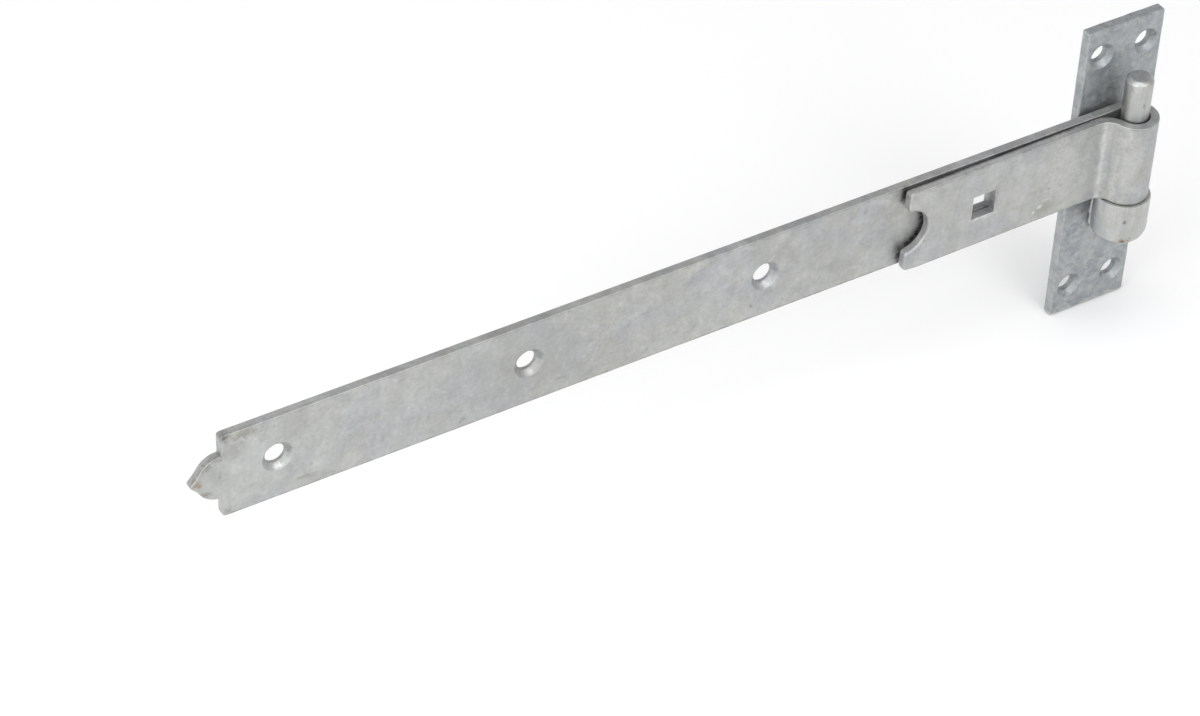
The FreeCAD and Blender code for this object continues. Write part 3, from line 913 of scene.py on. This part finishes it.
def weldLumps(s):
    # down one side of the boss, down the other, round under it and across its foot
    rng = random.Random(s["seed"])
    low, high, side, stray = s["bossFoot"], s["shoulder"] - s["beadTop"], s["beadAt"], s["stray"]
    lumps = []

    def addLump(row, x, z):
        lumps.append((x, s["plateFront"] - row["out"], z, s["bead"] * rng.uniform(*row["share"])))

    row = s["sideRow"]
    for edge in (-1, 1):
        for i in range(row["count"]):
            z = high + (low + row["up"] - high) * i / (row["count"] - 1)
            addLump(row, edge * side + rng.uniform(-stray, stray), z)
    row = s["footRow"]
    for i in range(row["count"]):
        turn = math.pi * (i + 0.5) / row["count"]
        z = low - row["down"] - row["sag"] * math.sin(turn)
        addLump(row, -side * math.cos(turn) + rng.uniform(-stray, stray), z)
    row = s["fillRow"]
    for i in range(row["count"]):
        addLump(row, row["from"] + row["step"] * i, low + row["up"])
    return lumps + s["drops"]


def weldMetal(s):
    # the lumps melted together
    bm = bmesh.new()
    for x, y, z, radius in weldLumps(s):
        ball = bmesh.ops.create_icosphere(bm, subdivisions=2, radius=radius)
        for vert in ball["verts"]:
            vert.co = Vector((x, y, z)) + vert.co * Vector(s["squash"])
    weld = objectFrom(bm, "weld")
    melt = weld.modifiers.new("melt", "REMESH")
    melt.mode = "VOXEL"
    melt.voxel_size = s["melt"]
    calm = weld.modifiers.new("calm", "SMOOTH")
    calm.factor = 0.5
    calm.iterations = 4
    applyModifiers(weld)
    shaped = weld.data
    bpy.data.objects.remove(weld)
    return shaped


def buildPin():
    s = pinSizes
    bm = bmesh.new()
    turnedPin(bm, s)
    weld = weldMetal(s)
    bm.from_mesh(weld)
    bpy.data.meshes.remove(weld)
    for vert in bm.verts:  # nothing sinks deep into the plate
        vert.co.y = min(vert.co.y, s["plateFront"] + s["sunk"])
    finishPiece(objectFrom(bm, "pin_and_boss"), "hook", "hook_pin", zincMaterial(pinLook))


buildPin()

# stage, light and camera, in metres
stageSet = {
    "floor": (0.95, 0.95, 0.95), "floorShade": 0.99, "floorDrop": 0.0005, "floorSize": 12.0,
    "floorAt": (-0.2, 0.0),
    "sky": (0.99, 0.995, 1.0), "darkSide": (0.45, 0.70, 0.55), "skyDim": 0.55, "skyBright": 1.20,
    "lampAim": (-0.2, -0.01, 0.0),
}
lampSet = [
    {"name": "overheadSoftbox", "at": (-0.35, -0.25, 1.6), "size": 1.2, "power": 6.0},
    {"name": "frontSoftbox", "at": (0.0, -1.2, 1.0), "size": 0.7, "power": 4.0},
    {"name": "leftSoftbox", "at": (-1.1, -0.3, 0.55), "size": 0.7, "power": 4.0},
]
cameraSet = {"azimuth": -33.58, "elevation": 40.10, "roll": 2.66, "distance": 1.5354,
             "target": (-0.25531, -0.007, 0.00035), "lens": 115.91}


def paleMaterial():
    material = bpy.data.materials.new("paleFloor")
    material.use_nodes = True
    tree = material.node_tree
    shader = tree.nodes["Principled BSDF"]
    where = addNode(tree, "ShaderNodeTexCoord").outputs["Object"]
    tint = stepBetween(tree, noiseAt(tree, where, 3.0, 2), 0.3, 0.7)
    pale = stageSet["floor"]
    shade = tuple(c * stageSet["floorShade"] for c in pale)
    join(tree, blendColour(tree, tint, pale, shade), shader.inputs["Base Color"])
    shader.inputs["Roughness"].default_value = 0.9
    return material


def buildFloor():
    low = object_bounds()[0]
    place = (*stageSet["floorAt"], low[2] - stageSet["floorDrop"])
    bpy.ops.mesh.primitive_plane_add(size=stageSet["floorSize"], location=place)
    floor = bpy.context.object
    floor.name = "pale_floor"
    floor.data.materials.append(paleMaterial())


def buildSky():
    # even white light, dimmer towards one side so that faces differ
    world = bpy.data.worlds.new("studio")
    scene.world = world
    world.use_nodes = True
    tree = world.node_tree
    sky = tree.nodes["Background"]
    sky.inputs["Color"].default_value = opaque(stageSet["sky"])
    toward = addNode(tree, "ShaderNodeVectorMath", operation="DOT_PRODUCT")
    toward.inputs[1].default_value = Vector(stageSet["darkSide"]).normalized()
    join(tree, addNode(tree, "ShaderNodeTexCoord").outputs["Generated"], toward.inputs[0])
    fade = addNode(tree, "ShaderNodeMapRange")
    fade.inputs["From Min"].default_value = -1.0
    fade.inputs["From Max"].default_value = 1.0
    fade.inputs["To Min"].default_value = stageSet["skyBright"]
    fade.inputs["To Max"].default_value = stageSet["skyDim"]
    join(tree, toward.outputs["Value"], fade.inputs["Value"])
    join(tree, fade.outputs["Result"], sky.inputs["Strength"])


def buildLamps():
    aim = Vector(stageSet["lampAim"])
    for lamp in lampSet:
        light = bpy.data.lights.new(lamp["name"], "AREA")
        light.energy = lamp["power"]
        light.size = lamp["size"]
        holder = bpy.data.objects.new(lamp["name"], light)
        holder.location = lamp["at"]
        holder.rotation_euler = (aim - Vector(lamp["at"])).to_track_quat("-Z", "Y").to_euler()
        scene.collection.objects.link(holder)


def buildCamera():
    a, e, r = (math.radians(cameraSet[k]) for k in ("azimuth", "elevation", "roll"))
    back = Vector((math.sin(a) * math.cos(e), -math.cos(a) * math.cos(e), math.sin(e)))
    level = Vector((math.cos(a), math.sin(a), 0.0))
    rise = back.cross(level)
    right = level * math.cos(r) + rise * math.sin(r)
    up = rise * math.cos(r) - level * math.sin(r)
    turn = Matrix((right, up, back)).transposed().to_4x4()
    data = bpy.data.cameras.new("photoView")
    data.sensor_fit = "HORIZONTAL"
    data.sensor_width = 36.0
    data.lens = cameraSet["lens"]
    data.clip_end = 50.0
    camera = bpy.data.objects.new("photoView", data)
    place = Vector(cameraSet["target"]) + back * cameraSet["distance"]
    camera.matrix_world = Matrix.Translation(place) @ turn
    scene.collection.objects.link(camera)
    bpy.context.scene.camera = camera


buildFloor()
buildSky()
buildLamps()
buildCamera()
print("stage and camera set")
